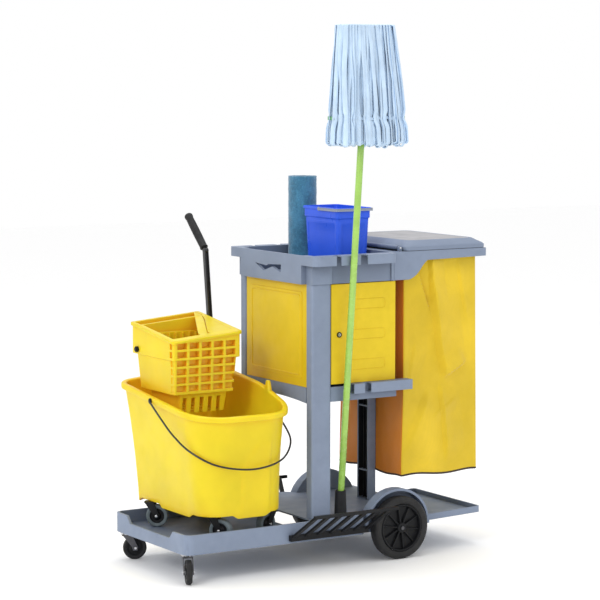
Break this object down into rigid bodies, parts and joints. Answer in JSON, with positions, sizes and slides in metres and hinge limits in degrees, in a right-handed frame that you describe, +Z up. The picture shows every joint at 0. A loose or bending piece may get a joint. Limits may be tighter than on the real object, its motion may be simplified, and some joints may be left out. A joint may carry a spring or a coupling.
{
  "type": "housekeeping cart",
  "caption": "Janitor cart with bucket platform, locking cabinet, open top tray, lidded waste bag, side racks, wringer bucket, mop, small bucket and cloth roll.",
  "frame": {"origin": "centre of the outer box in plan, on the floor", "axes": "+X from the bucket platform to the waste bag, +Y to the far side, +Z up"},
  "size_m": [1.1274, 0.7438, 1.678],
  "materials": {
    "grey_plastic": "moulded, fine texture",
    "yellow_panel": "moulded satin",
    "yellow_bucket": "moulded satin gloss",
    "bag_fabric": "coated woven nylon",
    "black_plastic": "moulded",
    "black_grip": "ribbed grip",
    "black_wire": "black coated wire",
    "black_steel": "powder coated",
    "black_tyre": "smooth rubber",
    "grey_tyre": "soft grey rubber",
    "steel": "zinc plated",
    "green_pole": "gloss coated",
    "mop_cloth": "non-woven microfibre strips",
    "blue_plastic": "moulded",
    "grey_trim": "moulded",
    "teal_cloth": "terry microfibre"
  },
  "bodies": {
    "cart_frame": {"base_platform": "grey_plastic", "rear_tray": "grey_plastic", "side_rack_near": "black_plastic", "side_rack_far": "black_plastic", "pole_cup": "black_plastic", "rear_axle": "steel", "caster_head_near": "steel", "caster_head_far": "steel", "front_post_near": "grey_plastic", "front_post_far": "grey_plastic", "rear_column": "grey_plastic", "mid_shelf": "grey_plastic", "cabinet_front_panel": "yellow_panel", "cabinet_rear_panel": "yellow_panel", "door_hinge_pin_near": "steel", "door_hinge_pin_far": "steel", "top_tray": "grey_plastic", "bag_frame": "grey_plastic", "lid_hinge_pin": "steel", "waste_bag": "bag_fabric"},
    "caster_swivel_near": {"caster_fork_near": "steel", "caster_axle_near": "steel"},
    "caster_roller_near": {"caster_wheel_near": "black_tyre"},
    "caster_swivel_far": {"caster_fork_far": "steel", "caster_axle_far": "steel"},
    "caster_roller_far": {"caster_wheel_far": "black_tyre"},
    "rear_wheel_near": {"rear_tyre_near": "black_tyre", "rear_hub_near": "black_plastic"},
    "rear_wheel_far": {"rear_tyre_far": "black_tyre", "rear_hub_far": "black_plastic"},
    "door_near": {"cabinet_door_near": "yellow_panel", "lock_ring_near": "black_plastic"},
    "lock_near": {"lock_plug_near": "steel", "lock_cam_near": "steel"},
    "door_far": {"cabinet_door_far": "yellow_panel", "lock_ring_far": "black_plastic"},
    "lock_far": {"lock_plug_far": "steel", "lock_cam_far": "steel"},
    "lid": {"bag_lid": "grey_plastic"},
    "mop": {"mop_pole": "green_pole", "mop_clamp": "black_plastic", "mop_head": "mop_cloth"},
    "mop_bucket": {"bucket_body": "yellow_bucket"},
    "bucket_handle": {"bucket_bail": "black_wire"},
    "wringer": {"wringer_housing": "yellow_bucket"},
    "lever": {"wringer_lever": "black_steel", "lever_grip": "black_grip", "wringer_shaft": "black_plastic"},
    "press": {"press_plate": "yellow_bucket"},
    "bucket_swivel_a": {"bucket_fork_a": "black_plastic"},
    "bucket_roller_a": {"bucket_wheel_a": "grey_tyre"},
    "bucket_swivel_b": {"bucket_fork_b": "black_plastic"},
    "bucket_roller_b": {"bucket_wheel_b": "grey_tyre"},
    "bucket_swivel_c": {"bucket_fork_c": "black_plastic"},
    "bucket_roller_c": {"bucket_wheel_c": "grey_tyre"},
    "bucket_swivel_d": {"bucket_fork_d": "black_plastic"},
    "bucket_roller_d": {"bucket_wheel_d": "grey_tyre"},
    "pail": {"blue_bucket": "blue_plastic"},
    "pail_handle": {"blue_bucket_bail": "grey_trim"},
    "roll": {"cloth_roll": "teal_cloth"}
  },
  "joints": [
    {"name": "caster_turn_near", "type": "hinge", "parent": "cart_frame", "child": "caster_swivel_near", "pos_m": [-0.53283, -0.19486, 0.06], "axis": [0, 0, 1], "continuous": true},
    {"name": "caster_spin_near", "type": "hinge", "parent": "caster_swivel_near", "child": "caster_roller_near", "pos_m": [-0.54257, -0.21896, 0.0375], "axis": [0.9272, -0.3746, 0], "continuous": true},
    {"name": "caster_turn_far", "type": "hinge", "parent": "cart_frame", "child": "caster_swivel_far", "pos_m": [-0.53283, 0.20114, 0.06], "axis": [0, 0, 1], "continuous": true},
    {"name": "caster_spin_far", "type": "hinge", "parent": "caster_swivel_far", "child": "caster_roller_far", "pos_m": [-0.5084, 0.19225, 0.0375], "axis": [0.342, 0.9397, 0], "continuous": true},
    {"name": "rear_wheel_spin_near", "type": "hinge", "parent": "cart_frame", "child": "rear_wheel_near", "pos_m": [0.20817, -0.23836, 0.1], "axis": [0, 1, 0], "continuous": true},
    {"name": "rear_wheel_spin_far", "type": "hinge", "parent": "cart_frame", "child": "rear_wheel_far", "pos_m": [0.20817, 0.24464, 0.1], "axis": [0, 1, 0], "continuous": true},
    {"name": "door_hinge_near", "type": "hinge", "parent": "cart_frame", "child": "door_near", "pos_m": [0.20617, -0.20586, 0.7], "axis": [0, 0, 1], "range_deg": [0, 4.7]},
    {"name": "lock_turn_near", "type": "hinge", "parent": "door_near", "child": "lock_near", "pos_m": [-0.00083, -0.20586, 0.722], "axis": [0, -1, 0], "range_deg": [0, 90]},
    {"name": "door_hinge_far", "type": "hinge", "parent": "cart_frame", "child": "door_far", "pos_m": [0.20617, 0.21214, 0.7], "axis": [0, 0, -1], "range_deg": [0, 110]},
    {"name": "lock_turn_far", "type": "hinge", "parent": "door_far", "child": "lock_far", "pos_m": [-0.00083, 0.21214, 0.722], "axis": [0, -1, 0], "range_deg": [0, 90]},
    {"name": "lid_hinge", "type": "hinge", "parent": "cart_frame", "child": "lid", "pos_m": [0.23317, 0.00314, 0.982], "axis": [0, -1, 0], "range_deg": [0, 90]},
    {"name": "mop_lift", "type": "slide", "parent": "cart_frame", "child": "mop", "axis": [0.0094, -0.0857, 0.9963], "range_m": [0, 0.12]},
    {"name": "bucket_lift", "type": "slide", "parent": "cart_frame", "child": "mop_bucket", "axis": [0, 0, 1], "range_m": [0, 0.2]},
    {"name": "bucket_handle_swing", "type": "hinge", "parent": "mop_bucket", "child": "bucket_handle", "pos_m": [-0.35083, 0.05114, 0.522], "axis": [-1, 0, 0], "range_deg": [0, 115]},
    {"name": "wringer_lift", "type": "slide", "parent": "mop_bucket", "child": "wringer", "axis": [0, 0, 1], "range_m": [0, 0.07]},
    {"name": "lever_pull", "type": "hinge", "parent": "wringer", "child": "lever", "pos_m": [-0.21483, 0.21514, 0.664], "axis": [1, 0, 0], "range_deg": [0, 80]},
    {"name": "press_slide", "type": "slide", "parent": "wringer", "child": "press", "axis": [0, -1, 0], "range_m": [0, 0.111]},
    {"name": "bucket_caster_turn_a", "type": "hinge", "parent": "mop_bucket", "child": "bucket_swivel_a", "pos_m": [-0.47883, 0.14514, 0.18], "axis": [0, 0, 1], "continuous": true},
    {"name": "bucket_caster_spin_a", "type": "hinge", "parent": "bucket_swivel_a", "child": "bucket_roller_a", "pos_m": [-0.45992, 0.13037, 0.1453], "axis": [0.6157, 0.788, 0], "continuous": true},
    {"name": "bucket_caster_turn_b", "type": "hinge", "parent": "mop_bucket", "child": "bucket_swivel_b", "pos_m": [-0.42283, -0.16086, 0.18], "axis": [0, 0, 1], "continuous": true},
    {"name": "bucket_caster_spin_b", "type": "hinge", "parent": "bucket_swivel_b", "child": "bucket_roller_b", "pos_m": [-0.4074, -0.17924, 0.1453], "axis": [0.766, 0.6428, 0], "continuous": true},
    {"name": "bucket_caster_turn_c", "type": "hinge", "parent": "mop_bucket", "child": "bucket_swivel_c", "pos_m": [-0.21583, -0.15386, 0.18], "axis": [0, 0, 1], "continuous": true},
    {"name": "bucket_caster_spin_c", "type": "hinge", "parent": "bucket_swivel_c", "child": "bucket_roller_c", "pos_m": [-0.23838, -0.16207, 0.1453], "axis": [0.342, -0.9397, 0], "continuous": true},
    {"name": "bucket_caster_turn_d", "type": "hinge", "parent": "mop_bucket", "child": "bucket_swivel_d", "pos_m": [-0.22683, 0.16314, 0.18], "axis": [0, 0, 1], "continuous": true},
    {"name": "bucket_caster_spin_d", "type": "hinge", "parent": "bucket_swivel_d", "child": "bucket_roller_d", "pos_m": [-0.24761, 0.17514, 0.1453], "axis": [-0.5, -0.866, 0], "continuous": true},
    {"name": "pail_lift", "type": "slide", "parent": "cart_frame", "child": "pail", "axis": [0, 0, 1], "range_m": [0, 0.15]},
    {"name": "pail_handle_swing", "type": "hinge", "parent": "pail", "child": "pail_handle", "pos_m": [0.11817, -0.01186, 1.101], "axis": [-1, 0, 0], "range_deg": [0, 175]},
    {"name": "roll_lift", "type": "slide", "parent": "cart_frame", "child": "roll", "axis": [0, 0, 1], "range_m": [0, 0.25]}
  ],
  "couplings": [
    {"joint": "press_slide", "follows": "lever_pull", "m_per_rad": 0.079}
  ]
}
